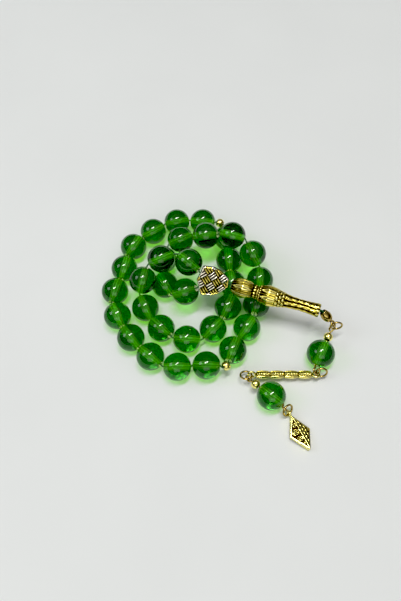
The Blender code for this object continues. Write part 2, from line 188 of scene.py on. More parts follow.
def bump(nodes, links, shader, height, strength, distance):
    """Bumps of a given depth on a shader's surface."""
    node = nodes.new("ShaderNodeBump")
    node.inputs["Strength"].default_value = strength
    node.inputs["Distance"].default_value = distance
    links.new(height, node.inputs["Height"])
    links.new(node.outputs["Normal"], shader.inputs["Normal"])


FLOOR_HALF = 3.0
FLOOR_DROP = 0.02 * MM
FLOOR_GRAIN = 18
ROOM_STRENGTH = 0.33


def make_floor():
    """Pale matt paper, a hair below the beads that rest on it."""
    mesh = bpy.data.meshes.new("floor")
    corners = [(x * FLOOR_HALF, y * FLOOR_HALF, 0) for x, y in ((-1, -1), (1, -1), (1, 1), (-1, 1))]
    mesh.from_pydata(corners, [], [(0, 1, 2, 3)])
    floor = bpy.data.objects.new("floor", mesh)
    floor.location.z = -FLOOR_DROP
    made, nodes, links, shader = new_material("floor_paper")
    tone = noise(nodes, links, FLOOR_GRAIN, 3)
    links.new(ramp(nodes, links, tone, [(0.3, (0.78, 0.79, 0.785)), (0.7, (0.80, 0.81, 0.805))]),
              shader.inputs["Base Color"])
    shader.inputs["Roughness"].default_value = 0.9
    shader.inputs["Specular IOR Level"].default_value = 0.1
    mesh.materials.append(made)
    scene.collection.objects.link(floor)


def area_light(name, direction, distance, size, power, colour):
    """A soft rectangular light that faces the object."""
    data = bpy.data.lights.new(name, "AREA")
    data.shape = "RECTANGLE"
    data.size, data.size_y = size
    data.energy = power
    data.color = colour
    light = bpy.data.objects.new(name, data)
    way = Vector(direction).normalized()
    light.matrix_world = Matrix.Translation(way * distance) @ way.to_track_quat("Z", "Y").to_matrix().to_4x4()
    scene.collection.objects.link(light)


def make_world():
    """A room that is dark round its walls and light under its ceiling."""
    world = bpy.data.worlds.new("room")
    world.use_nodes = True
    scene.world = world
    nodes, links = world.node_tree.nodes, world.node_tree.links
    place = nodes.new("ShaderNodeTexCoord")
    split = nodes.new("ShaderNodeSeparateXYZ")
    links.new(place.outputs["Generated"], split.inputs["Vector"])
    shade = ramp(nodes, links, split.outputs["Z"], [
        (0.0, (0.06, 0.065, 0.06)), (0.45, (0.10, 0.105, 0.10)), (0.72, (0.75, 0.76, 0.76)),
        (0.88, (1.0, 1.0, 1.0))])
    background = nodes["Background"]
    links.new(shade, background.inputs["Color"])
    background.inputs["Strength"].default_value = ROOM_STRENGTH


make_camera()
make_floor()
make_world()
# A window to the left, a tube lamp overhead that makes the small highlights, and a white card behind the camera.
area_light("window", direction=(-0.75, 0.02, 0.66), distance=1.0, size=(0.36, 0.36), power=1.25,
           colour=(0.88, 0.95, 1.0))
area_light("tube", direction=(-0.02, 0.03, 1.0), distance=1.2, size=(0.62, 0.14), power=6.6,
           colour=(1.0, 1.0, 0.97))
area_light("card", direction=(0.0, -0.79, 0.615), distance=0.9, size=(0.75, 0.45), power=1.15,
           colour=(1.0, 0.99, 0.96))


# ---------------------------------------------------------------- materials
GLASS_IOR = 1.5
GLASS_CLOUD = 160
BORE_STREAKS = 12
PATINA_GRAIN = 900
PATINA_SHARE = 0.16
CASTING_GRAIN = 2600
SILK_GRAIN = 3000


def pass_lamps(nodes, links, shader, tint):
    """Lamps shine on through the surface with a tint, so that glass throws a coloured shadow."""
    path = nodes.new("ShaderNodeLightPath")
    clear = nodes.new("ShaderNodeBsdfTransparent")
    clear.inputs["Color"].default_value = (*tint, 1)
    mix = nodes.new("ShaderNodeMixShader")
    links.new(path.outputs["Is Shadow Ray"], mix.inputs[0])
    links.new(shader.outputs["BSDF"], mix.inputs[1])
    links.new(clear.outputs["BSDF"], mix.inputs[2])
    links.new(mix.outputs["Shader"], nodes["Material Output"].inputs["Surface"])


def glass_material():
    """Clear emerald glass, with the faint cloudiness of pressed beads."""
    made, nodes, links, shader = new_material("emerald_glass_fine")
    cloud = noise(nodes, links, GLASS_CLOUD, 2)
    links.new(ramp(nodes, links, cloud, [(0.35, (0.012, 0.125, 0.008)), (0.65, (0.026, 0.215, 0.014))]),
              shader.inputs["Base Color"])
    shader.inputs["Roughness"].default_value = 0.0
    shader.inputs["IOR"].default_value = GLASS_IOR
    shader.inputs["Specular IOR Level"].default_value = 0.22
    shader.inputs["Transmission Weight"].default_value = 1.0
    pass_lamps(nodes, links, shader, (0.46, 0.80, 0.13))
    return made


def bore_material():
    """The drilled wall of a bead: ground and streaked along the bore; its near-white streaks are partly the
    ground glass's own colour and partly painted highlights, lighter than the glass.
    """
    made, nodes, links, shader = new_material("ground_bore_painted_glints")
    place = nodes.new("ShaderNodeAttribute")
    place.attribute_name = "around"
    streaks = nodes.new("ShaderNodeTexNoise")
    streaks.noise_dimensions = "1D"
    streaks.inputs["Scale"].default_value = BORE_STREAKS
    streaks.inputs["Detail"].default_value = 2
    links.new(place.outputs["Fac"], streaks.inputs["W"])
    # Painted highlights: the near-white streaks are opaque and matt, standing in part for the bore's glints.
    links.new(ramp(nodes, links, streaks.outputs["Fac"],
                   [(0.40, (0.70, 0.90, 0.55)), (0.50, (1.0, 1.0, 0.9)), (0.60, (1.0, 1.0, 0.8))]),
              shader.inputs["Base Color"])
    links.new(ramp(nodes, links, streaks.outputs["Fac"], [(0.47, (1, 1, 1)), (0.50, (0.0, 0.0, 0.0))]),
              shader.inputs["Transmission Weight"])
    shader.inputs["Roughness"].default_value = 0.05
    shader.inputs["IOR"].default_value = GLASS_IOR
    pass_lamps(nodes, links, shader, (0.95, 1.0, 0.9))
    return made


def gilt_material(name, crest, middle, recess_shade, smooth=0.14, rough=0.4, ribbon=None):
    """Plated metal, bright on its crests, with painted shade darkening it into its recesses; ribbon is the
    crests' other colour.
    """
    made, nodes, links, shader = new_material(name)
    relief = nodes.new("ShaderNodeAttribute")
    relief.attribute_name = "relief"
    patina = noise(nodes, links, PATINA_GRAIN, 4)
    mixed = nodes.new("ShaderNodeMath")
    mixed.operation = "MULTIPLY_ADD"
    links.new(patina, mixed.inputs[0])
    mixed.inputs[1].default_value = PATINA_SHARE
    links.new(relief.outputs["Fac"], mixed.inputs[2])
    # Painted shade: low relief in recesses, bores and seams takes the near-black recess colour.
    colour = ramp(nodes, links, mixed.outputs["Value"], [(0.30, recess_shade), (0.62, middle), (0.95, crest)])
    if ribbon:
        colour = mixed_colours(nodes, links, "ribbon", colour,
                               ramp(nodes, links, mixed.outputs["Value"], [(0.30, recess_shade), (0.75, ribbon)]))
    links.new(colour, shader.inputs["Base Color"])
    links.new(spread(nodes, links, mixed.outputs["Value"], rough, smooth), shader.inputs["Roughness"])
    shader.inputs["Metallic"].default_value = 1.0
    bump(nodes, links, shader, noise(nodes, links, CASTING_GRAIN, 2), 0.12, 0.03 * MM)
    return made


def silk_material():
    """Green silk, with painted shade darkening it where its strands meet."""
    made, nodes, links, shader = new_material("twisted_silk")
    relief = nodes.new("ShaderNodeAttribute")
    relief.attribute_name = "relief"
    # Painted shade: the low places between the strands take the dark end of the ramp.
    links.new(ramp(nodes, links, relief.outputs["Fac"],
                   [(0.1, (0.004, 0.025, 0.006)), (0.9, (0.02, 0.15, 0.03))]), shader.inputs["Base Color"])
    links.new(spread(nodes, links, noise(nodes, links, SILK_GRAIN, 2), 0.45, 0.75), shader.inputs["Roughness"])
    shader.inputs["Sheen Weight"].default_value = 0.3
    return made


GLASS = glass_material()
BORE = bore_material()
GILT = gilt_material("bright_gilt_fine", crest=(1.0, 0.93, 0.34), middle=(1.0, 0.80, 0.13),
                     recess_shade=(0.015, 0.008, 0.002))
PALE_GILT = gilt_material("pale_gilt_fine", crest=(1.0, 0.97, 0.86), middle=(1.0, 0.88, 0.60),
                          recess_shade=(0.012, 0.008, 0.005), ribbon=(1.0, 0.86, 0.20))
OLIVE_GILT = gilt_material("olive_gilt_fine", crest=(0.50, 0.37, 0.11), middle=(0.22, 0.16, 0.04),
                           recess_shade=(0.015, 0.010, 0.003), smooth=0.12, rough=0.3)
SILK = silk_material()


# ---------------------------------------------------------------- mesh helpers
def mesh_object(name, verts, faces, material, body, node=None, relief=None, matrix=None):
    """A smooth-shaded piece in world coordinates that rides on its body and stands for its CAD node."""
    points = np.asarray(verts, dtype=float).reshape(-1, 3)
    if matrix is not None:
        turn = np.array(matrix)
        points = points @ turn[:3, :3].T + turn[:3, 3]
    mesh = bpy.data.meshes.new(name)
    mesh.from_pydata(points.tolist(), [], [tuple(face) for face in faces])
    mesh.materials.append(material)
    mesh.shade_smooth()
    heights = np.ones(len(points)) if relief is None else np.asarray(relief, dtype=float).ravel()
    mesh.attributes.new("relief", "FLOAT", "POINT").data.foreach_set("value", heights)
    obj = bpy.data.objects.new(name, mesh)
    scene.collection.objects.link(obj)
    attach(obj, body)
    if node:
        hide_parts(node)
    return obj


def facing(origin, direction, side=(0, 0, 1)):
    """A matrix at origin with local Z along direction and local X as near to side as it can be."""
    z_axis = Vector(direction).normalized()
    y_axis = z_axis.cross(Vector(side))
    if y_axis.length < 1e-4:
        y_axis = z_axis.cross(Vector((1, 0, 0)))
    y_axis.normalize()
    x_axis = y_axis.cross(z_axis)
    return Matrix.Translation(origin) @ Matrix((x_axis, y_axis, z_axis)).transposed().to_4x4()


def grid_faces(rows, columns, wrap_rows=False, start=0):
    """Quads over rows of points, each row closed on itself."""
    faces = []
    for row in range(rows if wrap_rows else rows - 1):
        above = start + (row + 1) % rows * columns
        here = start + row * columns
        for column in range(columns):
            after = (column + 1) % columns
            faces.append((here + column, here + after, above + after, above + column))
    return faces


def turned(radii, heights, columns):
    """Points of a shape turned about Z: radii and heights may differ along a row."""
    angles = np.linspace(0, 2 * np.pi, columns, endpoint=False)[None, :]
    radii = np.broadcast_to(np.asarray(radii).reshape(len(radii), -1), (len(radii), columns))
    heights = np.broadcast_to(np.asarray(heights).reshape(len(radii), -1), radii.shape)
    return np.stack([radii * np.cos(angles), radii * np.sin(angles), heights], axis=-1)


def sweep(points, radius, sides=12, closed=False, lobes=0, pitch=1.0, depth=0.0):
    """A tube along points; lobes twist round it once for each pitch of its length."""
    path = np.array([tuple(p) for p in points])
    count = len(path)
    if closed:
        tangents = np.roll(path, -1, 0) - np.roll(path, 1, 0)
    else:
        tangents = np.gradient(path, axis=0)
    tangents /= np.linalg.norm(tangents, axis=1)[:, None]
    normal = np.cross(tangents[0], (0.31, 0.52, 0.79))
    normals = []
    for tangent in tangents:
        normal = normal - tangent * np.dot(normal, tangent)
        normal = normal / np.linalg.norm(normal)
        normals.append(normal)
    normals = np.array(normals)
    sideways = np.cross(tangents, normals)
    steps = np.linalg.norm(np.diff(path, axis=0), axis=1)
    travel = np.concatenate([[0], np.cumsum(steps)])[:, None]
    angles = np.linspace(0, 2 * np.pi, sides, endpoint=False)[None, :]
    height = np.ones((count, sides))
    if lobes:
        height = np.abs(np.cos(lobes / 2 * (angles - 2 * np.pi * travel / pitch)))
    radii = radius * (1 - depth * (1 - height))
    around = normals[:, None, :] * np.cos(angles)[..., None] + sideways[:, None, :] * np.sin(angles)[..., None]
    verts = path[:, None, :] + around * radii[..., None]
    faces = grid_faces(count, sides, wrap_rows=closed)
    if not closed:
        faces.append(tuple(range(sides - 1, -1, -1)))
        faces.append(tuple(range((count - 1) * sides, count * sides)))
    return verts.reshape(-1, 3), faces, height.ravel()


def circle(matrix, radius, count=64, gap=0.0):
    """Points round a circle in the plane of local X and Y, open by a gap angle beside local X."""
    if gap:
        angles = np.linspace(gap / 2, 2 * math.pi - gap / 2, count)
    else:
        angles = np.linspace(0, 2 * math.pi, count, endpoint=False)
    return [matrix @ Vector((radius * math.cos(a), radius * math.sin(a), 0)) for a in angles]


def join(*shapes):
    """Several (verts, faces, relief) shapes as one."""
    verts, faces, relief = [], [], []
    for shape_verts, shape_faces, shape_relief in shapes:
        offset = sum(len(v) for v in verts)
        verts.append(np.asarray(shape_verts).reshape(-1, 3))
        relief.append(np.asarray(shape_relief).ravel())
        faces += [tuple(i + offset for i in face) for face in shape_faces]
    return np.concatenate(verts), faces, np.concatenate(relief)


def placed(shape, matrix):
    """A (verts, faces, relief) shape moved by a matrix."""
    verts, faces, relief = shape
    turn = np.array(matrix)
    return np.asarray(verts).reshape(-1, 3) @ turn[:3, :3].T + turn[:3, 3], faces, relief


def cell(value):
    """How far a value is from the middle of its cell, from -0.5 to 0.5."""
    return value - np.floor(value) - 0.5


def round_bump(distance, radius):
    """A hemisphere's height at a distance from its middle, from 1 to 0."""
    return np.sqrt(np.clip(1 - (distance / radius) ** 2, 0, 1))


def smooth_step(value, low, high):
    """Rises from 0 to 1 between low and high, with no corner at either."""
    t = np.clip((value - low) / (high - low), 0, 1)
    return t * t * (3 - 2 * t)


# ---------------------------------------------------------------- beads and balls
def drilled_profile(radius, bore, bands, bore_bands):
    """A drilled ball's outline: its outside from mouth to mouth, then its bore with a narrow chamfer."""
    lip = 0.08 * radius if radius < 2 * MM else 0.12 * MM
    mouth = math.asin((bore + lip) / radius)
    turns = np.linspace(mouth, math.pi - mouth, bands + 1)
    outer = [(radius * math.sin(turn), radius * math.cos(turn)) for turn in turns]
    half = radius * math.cos(mouth) - 0.6 * lip
    inner = [(bore, -half + 2 * half * i / bore_bands) for i in range(bore_bands + 1)]
    return outer, inner


def make_beads():
    """Glass beads, each on its own body; the attribute tells how far round the bore a point is."""
    outer, inner = drilled_profile(BEAD_RADIUS, BORE_RADIUS, 40, 8)
    ring = outer + inner
    columns = 64
    verts = turned([r for r, _ in ring], [z for _, z in ring], columns)
    faces = [face[::-1] for face in grid_faces(len(ring), columns, wrap_rows=True)]
    slots = [1 if index // columns >= len(outer) - 1 else 0 for index in range(len(faces))]
    around = np.tile(np.abs(np.linspace(-1, 1, columns, endpoint=False)), len(ring))
    for name in sorted(frame["nodes"]):
        if "bead_" not in name:
            continue
        joint = JOINTS[name]
        matrix = facing(Vector(joint["pos_m"]), Vector(joint["axis"]))
        obj = mesh_object("glass_" + name, verts, faces, GLASS, name, name, matrix=matrix)
        obj.data.materials.append(BORE)
        obj.data.polygons.foreach_set("material_index", slots)
        obj.data.attributes.new("around", "FLOAT", "POINT").data.foreach_set("value", around)


def make_balls():
    """The dividers and the tail's small balls: turned, with a bright lip at each mouth and painted shade in each
    bore.
    """
    for name, radius in (("divider_1", DIVIDER_RADIUS), ("divider_2", DIVIDER_RADIUS),
                         ("gold_ball_1", BALL_RADIUS), ("gold_ball_2", BALL_RADIUS)):
        outer, inner = drilled_profile(radius, DIVIDER_BORE_RADIUS, 28, 4)
        ring = outer + inner
        columns = 48
        verts = turned([r for r, _ in ring], [z for _, z in ring], columns)
        faces = [face[::-1] for face in grid_faces(len(ring), columns, wrap_rows=True)]
        # Painted shade: the bore's low relief takes the gilt's near-black recess colour.
        relief = np.repeat([0.8] * len(outer) + [0.1] * len(inner), columns)
        joint = JOINTS[name]
        matrix = facing(Vector(joint["pos_m"]), Vector(joint["axis"]))
        mesh_object("gilt_" + name, verts, faces, GILT, name, name, relief, matrix)


# ---------------------------------------------------------------- the imame
# Distances from the end by the plate and the radius there, in millimetres.
IMAME_OUTLINE = [
    (0, 2.0), (0.8, 2.6), (1.8, 3.25), (4.0, 3.7), (6.2, 3.35), (7.7, 2.65), (9.1, 2.5), (10.6, 3.0),
    (13.5, 3.8), (16.0, 3.55), (17.9, 3.1), (21.5, 2.4), (25.2, 2.15), (28.8, 2.3), (31.6, 2.55),
    (32.3, 2.45),
]
LEAVES = 7
SCALE_START, SCALE_END = 15.2, 19.6
SCALE_ROW = 1.1
SCALES_ROUND = 11
STEM_RIBS = 8
STEM_DASH = 2.3
END_RIM = 31.2
# How steeply the painted shade darkens the gilt from the crests into the recesses: powers of the relief's
# height.
IMAME_SHADE_POWER = 2.1
PLATE_SHADE_POWER = 3
PENDANT_SHADE_POWER = 1.8


def leaves(theta, along, count, shift=0.0):
    """Leaves round a bulb: each a rounded lobe with a vein, pointed where along is 0 and 1."""
    across = cell(count * theta / (2 * np.pi) + shift)
    half = 0.47 * np.clip(np.sin(np.pi * np.clip(along, 0, 1)), 0.02, 1) ** 0.6
    lobe = round_bump(across, half)
    vein = np.exp(-(across / 0.05) ** 2) * smooth_step(half, 0.15, 0.4)
    return lobe * (1 - 0.55 * vein)


def beads_round(theta, along, centre, radius, count, reach):
    """A row of little balls round the body, as far along it as centre."""
    across = cell(count * theta / (2 * np.pi)) * 2 * np.pi * reach / count
    return round_bump(np.hypot(across, along - centre), radius)


def imame_relief(s, theta, radius):
    """Height of the cast pattern, from 0 in the recesses to 1 on the crests; s in millimetres.

    Along the body come a bulb of two rows of leaves, a waist of two rows of balls round a ring, a second bulb of
    leaves, rows of scales, and a ribbed stem with a scalloped end.
    """
    first = np.maximum(leaves(theta, (s - 0.3) / 7.2, LEAVES),
                       0.75 * leaves(theta, (s - 2.2) / 6.4, LEAVES, 0.5))
    waist = np.maximum(beads_round(theta, s, 8.55, 0.62, 12, radius),
                       beads_round(theta, s, 10.35, 0.42, 20, radius))
    waist = np.maximum(waist, 0.9 * round_bump(s - 9.55, 0.28))
    second = np.maximum(leaves(theta, (s - 10.7) / 6.4, LEAVES, 0.5),
                        0.8 * leaves(theta, (s - 12.6) / 5.6, LEAVES))
    row = (s - SCALE_START) / SCALE_ROW
    across = cell(SCALES_ROUND * theta / (2 * np.pi) + 0.5 * (np.floor(row) % 2))
    scales = round_bump(np.hypot(across * 1.25, cell(row) * 0.9 + 0.1), 0.62)
    ribs = np.abs(np.cos(STEM_RIBS / 2 * theta + 0.25 * np.sin(s * 0.55))) ** 0.7
    fine = 0.5 + 0.5 * np.cos(3 * STEM_RIBS * theta + 0.4 * s)
    rib_number = np.floor(STEM_RIBS * theta / (2 * np.pi))
    dashes = smooth_step(np.sin(s * 2 * np.pi / STEM_DASH + rib_number * 2.1), -0.6, 0.2)
    stem = ribs * (0.72 + 0.28 * fine * dashes)
    heights = np.where(s < 7.6, first, np.where(s < 10.8, waist, np.where(s < 16.2, second, scales)))
    late = smooth_step(s, SCALE_END - 0.6, SCALE_END + 0.6)
    heights = heights * (1 - late) + stem * late
    return np.where(s > END_RIM, np.maximum(0.35, np.abs(np.cos(5 * theta))), heights)


def make_imame():
    """The minaret bead: a turned body with its cast pattern cut into it, and the thread's bore."""
    stations = np.array(IMAME_OUTLINE)
    s = np.linspace(0, stations[-1, 0], 300)
    outline = np.interp(s, stations[:, 0], stations[:, 1])
    window = np.hanning(13)
    padded = np.pad(outline, 6, mode="edge")
    outline = np.minimum(np.convolve(padded, window / window.sum(), mode="valid"), outline + 0.05)
    columns = 168
    theta = np.linspace(0, 2 * np.pi, columns, endpoint=False)[None, :]
    heights = imame_relief(s[:, None], theta, outline[:, None])
    depth = np.interp(s, [0, 1, 8, 12, 20, 32.3], [0.1, 0.5, 0.4, 0.5, 0.36, 0.36])[:, None]
    radii = (outline[:, None] - depth * (1 - heights)) * MM
    bore_count = 6
    bore_radii = np.full((bore_count, columns), IMAME_BORE)
    bore_s = np.linspace(stations[-1, 0], 0, bore_count)
    all_radii = np.concatenate([radii, bore_radii])
    all_s = np.concatenate([s, bore_s])
    verts = turned(all_radii, all_s * MM, columns)
    faces = grid_faces(len(all_s), columns, wrap_rows=True)
    # Painted shade: the gilt darkens the pattern's recesses, and the bore, at relief 0, goes near black.
    relief = np.concatenate([heights, np.zeros((bore_count, columns))])
    mesh_object("gilt_imame", verts, faces, GILT, "imame", "imame", relief**IMAME_SHADE_POWER,
                facing(IMAME_START, IMAME_END - IMAME_START))


# ---------------------------------------------------------------- plates with relief on both faces
def star_outline(corners, angles, rounding):
    """How far a convex outline lies from its middle at each angle, with its corners rounded."""
    corners = np.array(corners, dtype=float)
    reach = np.full(len(angles), np.inf)
    rays = np.stack([np.cos(angles), np.sin(angles)], axis=1)
    for a, b in zip(corners, np.roll(corners, -1, axis=0)):
        normal = np.array([b[1] - a[1], a[0] - b[0]])
        normal /= np.linalg.norm(normal)
        distance = abs(np.dot(normal, a))
        normal *= np.sign(np.dot(normal, a))
        facing_ray = rays @ normal
        with np.errstate(divide="ignore"):
            reach = np.minimum(reach, np.where(facing_ray > 1e-6, distance / facing_ray, np.inf))
    window = np.hanning(rounding * 2 + 1)
    padded = np.concatenate([reach[-rounding:], reach, reach[:rounding]])
    return np.minimum(np.convolve(padded, window / window.sum(), mode="valid"), reach)


def two_faced(reach, angles, shares, height_and_relief):
    """A closed slab: its face from the middle to the edge, and the same relief on its back."""
    rays = np.stack([np.cos(angles), np.sin(angles)], axis=1)
    flat = shares[:, None, None] * reach[None, :, None] * rays[None, :, :]
    x, y = flat[..., 0], flat[..., 1]
    top, heights = height_and_relief(x, y, shares[:, None] * np.ones_like(x), 1)
    bottom, back_heights = height_and_relief(x, y, shares[:, None] * np.ones_like(x), -1)
    columns = len(angles)
    front = np.stack([x, y, top], axis=-1)
    back = np.stack([x, y, bottom], axis=-1)[::-1]
    verts = np.concatenate([front, back]).reshape(-1, 3)
    faces = grid_faces(2 * len(shares), columns)
    faces.append(tuple(range(columns - 1, -1, -1)))
    faces.append(tuple(range((2 * len(shares) - 1) * columns, 2 * len(shares) * columns)))
    relief = np.concatenate([heights, back_heights[::-1]])
    return verts, [face[::-1] for face in faces], relief.ravel()


# ---------------------------------------------------------------- the meeting plate
PLATE_CORNERS = [(-5.4, 0), (-3.5, 5.3), (0.4, 5.2), (3.3, 4.2), (5.1, 2.5), (6.2, 1.6),
                 (6.2, -1.6), (5.1, -2.5), (3.3, -4.2), (0.4, -5.2), (-3.5, -5.3)]
PLATE_MOUTH = (-4.75, 2.75)
PLATE_FORK = (2.2, 0)
PLATE_FOOT = (6.2, 0)
PLATE_EDGE = 0.985
WEAVE_CELL = 2.75
WEAVE_WIRES = 3
WEAVE_HEADING = math.radians(38)
WEAVE_DEPTH = 0.42 * MM


def weave(x, y):
    """Basket weave of three-wire ribbons, in millimetres: its height from 0 to 1, and a ribbon's direction."""
    p = (x * math.cos(WEAVE_HEADING) + y * math.sin(WEAVE_HEADING)) / WEAVE_CELL
    q = (-x * math.sin(WEAVE_HEADING) + y * math.cos(WEAVE_HEADING)) / WEAVE_CELL
    lengthwise = (np.floor(p) + np.floor(q)) % 2 == 0
    across = np.where(lengthwise, q, p)
    along = np.where(lengthwise, p, q)
    wires = np.abs(np.sin(np.pi * WEAVE_WIRES * across)) ** 0.8
    crown = np.sqrt(np.clip(1 - (2 * cell(along)) ** 2 * 0.9, 0, 1))
    edge = smooth_step(0.5 - np.abs(cell(across)), 0.0, 0.05)
    return wires * (0.45 + 0.55 * crown) * (0.4 + 0.6 * edge), np.where(lengthwise, 0.0, 1.0)


def plate_surface(x, y, share, side):
    """The pillow's height at a place, and how high its pattern stands there."""
    x_mm, y_mm = x / MM, y / MM
    rim = round_bump(share - 0.93, 0.05)
    field = smooth_step(0.905 - share, 0.0, 0.02)
    heights = np.maximum(weave(x_mm, side * y_mm)[0] * field, rim)
    pillow = PLATE_HALF_THICKNESS * (1 - 0.28 * share**2.2)
    shoulder = np.sqrt(np.clip(1 - (np.clip(share - 0.97, 0, 1) / 0.032) ** 2, 0, 1))
    depth = WEAVE_DEPTH * np.where(share > PLATE_EDGE, 0, 1)
    return side * (pillow - depth * (1 - heights)) * shoulder, np.where(share > PLATE_EDGE, 0.5, heights)


def cut_bores(obj, bores):
    """Drills round holes through a piece: each bore is (start, end, radius)."""
    for number, (start, end, radius) in enumerate(bores):
        verts, faces, relief = sweep([start.lerp(end, i / 4) for i in range(5)], radius, sides=28)
        mesh = bpy.data.meshes.new("drill")
        mesh.from_pydata(verts.tolist(), [], faces)
        mesh.materials.append(obj.data.materials[0])
        mesh.attributes.new("relief", "FLOAT", "POINT").data.foreach_set("value", np.zeros(len(verts)))
        drill = bpy.data.objects.new("drill", mesh)
        scene.collection.objects.link(drill)
        cut = obj.modifiers.new("Bore%d" % number, "BOOLEAN")
        cut.operation = "DIFFERENCE"
        cut.object = drill
        bpy.context.view_layer.update()
        graph = bpy.context.evaluated_depsgraph_get()
        drilled = bpy.data.meshes.new_from_object(obj.evaluated_get(graph))
        obj.modifiers.clear()
        obj.data = drilled
        bpy.data.objects.remove(drill, do_unlink=True)


def on_plate(x, y):
    """A place in the plate's middle plane, from its own millimetres."""
    return PLATE_MATRIX @ (Vector((x, y, 0)) * MM)


def make_plate():
    """A pillow with the weave on both faces, and the thread's forked way drilled through it."""
    angles = np.linspace(0, 2 * np.pi, 420, endpoint=False)
    reach = star_outline([(x * MM, y * MM) for x, y in PLATE_CORNERS], angles, 5)
    shares = np.concatenate([np.linspace(0.004, 0.90, 84), np.linspace(0.907, 1.0, 18)])
    verts, faces, relief = two_faced(reach, angles, shares, plate_surface)
    # Painted shade: the gilt darkens the gaps between the weave's wires and ribbons.
    plate = mesh_object("gilt_meeting_plate", verts, faces, PALE_GILT, ROOT, "meeting_plate",
                        relief**PLATE_SHADE_POWER, PLATE_MATRIX)
    side = np.sign(verts[:, 2])
    ribbon = weave(verts[:, 0] / MM, side * verts[:, 1] / MM)[1]
    plate.data.attributes.new("ribbon", "FLOAT", "POINT").data.foreach_set("value", ribbon)
    fork = on_plate(*PLATE_FORK)
    bores = [(fork, fork + (on_plate(*PLATE_FOOT) - fork) * 1.3, 1.05 * MM)]
    for sign in (1, -1):
        mouth = on_plate(PLATE_MOUTH[0], sign * PLATE_MOUTH[1])
        inner = on_plate(PLATE_FORK[0], sign * THREAD_PITCH / 2 / MM)
        bores.append((mouth + (mouth - inner) * 0.3, inner, 0.8 * MM))
    cut_bores(plate, bores)


# ---------------------------------------------------------------- the thread and its knot
def thread_route():
    """The thread's points, from the knot through the imame, the plate and every bead, and back."""
    hang = (CLAMSHELL_FOOT - KNOT).normalized()
    drop = Vector((0, 0, 0.5)) * THREAD_PITCH
    across = (on_plate(0, 1) - on_plate(0, 0)).normalized() * THREAD_PITCH / 2
    ways = []
    for sign in (1, -1):
        knot_face = KNOT - hang * (KNOT_RADIUS + 0.6 * MM)
        ways.append([knot_face + sign * drop, KNOT - hang * CLAMSHELL_MOUTH + sign * drop,
                     IMAME_END + sign * drop, IMAME_START + sign * drop, on_plate(*PLATE_FOOT) + sign * across,
                     on_plate(*PLATE_FORK) + sign * across])
    strand = [on_plate(*PLATE_MOUTH)]
    names = ["bead_%02d" % (i + 1) for i in range(33)]
    names.insert(22, "divider_2")
    names.insert(11, "divider_1")
    for name in names:
        centre, axis = Vector(JOINTS[name]["pos_m"]), Vector(JOINTS[name]["axis"])
        radius, bore = (BEAD_RADIUS, BORE_RADIUS) if "bead" in name else (DIVIDER_RADIUS, DIVIDER_BORE_RADIUS)
        half = math.sqrt(radius**2 - bore**2) + 0.1 * MM
        strand += [centre - axis * half, centre + axis * half]
    strand.append(on_plate(PLATE_MOUTH[0], -PLATE_MOUTH[1]))
    return ways[0] + strand + ways[1][::-1]


def even_path(points, step, ease):
    """Points at an even step along a broken line, with its corners eased over a few steps."""
    line = np.array([tuple(p) for p in points])
    travel = np.concatenate([[0], np.cumsum(np.linalg.norm(np.diff(line, axis=0), axis=1))])
    places = np.linspace(0, travel[-1], int(travel[-1] / step))
    even = np.stack([np.interp(places, travel, line[:, i]) for i in range(3)], axis=1)
    window = np.hanning(2 * ease + 3)[1:-1]
    padded = np.pad(even, ((ease, ease), (0, 0)), mode="edge")
    window /= window.sum()
    return np.stack([np.convolve(padded[:, i], window, mode="valid") for i in range(3)], axis=1)


def make_thread():
    """Three strands twisted together, along the whole route."""
    path = even_path(thread_route(), 0.16 * MM, 2)
    verts, faces, relief = sweep(path, THREAD_RADIUS, sides=12, lobes=3, pitch=1.9 * MM, depth=0.3)
    mesh_object("silk_thread", verts, faces, SILK, ROOT, "thread", relief)


def make_knot():
    """An overhand knot drawn tight: a trefoil inside the knot's round solid."""
    turn = np.linspace(0, 2 * np.pi, 120, endpoint=False)
    trefoil = np.stack([np.sin(turn) + 2 * np.sin(2 * turn), np.cos(turn) - 2 * np.cos(2 * turn),
                        -1.4 * np.sin(3 * turn)], axis=1)
    reach = np.linalg.norm(trefoil, axis=1).max()
    path = trefoil * (KNOT_RADIUS - THREAD_RADIUS) / reach
    verts, faces, relief = sweep(path, THREAD_RADIUS, closed=True, lobes=3, pitch=0.9 * MM, depth=0.3)
    mesh_object("silk_knot", verts, faces, SILK, ROOT, "knot", relief,
                facing(KNOT, CLAMSHELL_FOOT - KNOT))


# ---------------------------------------------------------------- wire: rings, pins and eyes
def ring_matrix(name):
    """Local X points to the side that the ring lies over to, and local Z is across the ring."""
    first, second, side = RINGS[name]
    along = (second - first).normalized()
    out = (side - along * side.dot(along)).normalized()
    rise = math.sqrt(RING_RADIUS**2 - (second - first).length_squared / 4)
    centre = (first + second) / 2 + out * rise
    return facing(centre, out.cross(along), out)


def loop_normal(name, loop, axis):
    """The direction across a loop that holds the ring, square to its own piece's axis."""
    matrix = ring_matrix(name)
    across = matrix.to_3x3() @ Vector((0, 0, 1))
    tangent = across.cross(loop - matrix.translation)
    return (tangent - axis * tangent.dot(axis) / axis.length_squared).normalized()


def make_rings():
    """Round wire bent to a ring, its two cut ends meeting with a hair's gap."""
    for name in RINGS:
        verts, faces, relief = sweep(circle(ring_matrix(name), RING_RADIUS, 72, gap=math.radians(2.5)),
                                     WIRE_RADIUS, sides=14)
        mesh_object("wire_" + name, verts, faces, OLIVE_GILT, name, name, relief * 0.85)


EYE_SWEEP = (math.radians(50), math.radians(330))


def eye_arc(centre, back, normal):
    """Points round a pin's loop, from beside its neck; back points from its centre to the neck."""
    back = (back - normal * back.dot(normal)).normalized()
    side = normal.cross(back)
    return [centre + EYE_RADIUS * (back * math.cos(a) + side * math.sin(a)) for a in np.linspace(*EYE_SWEEP, 41)]


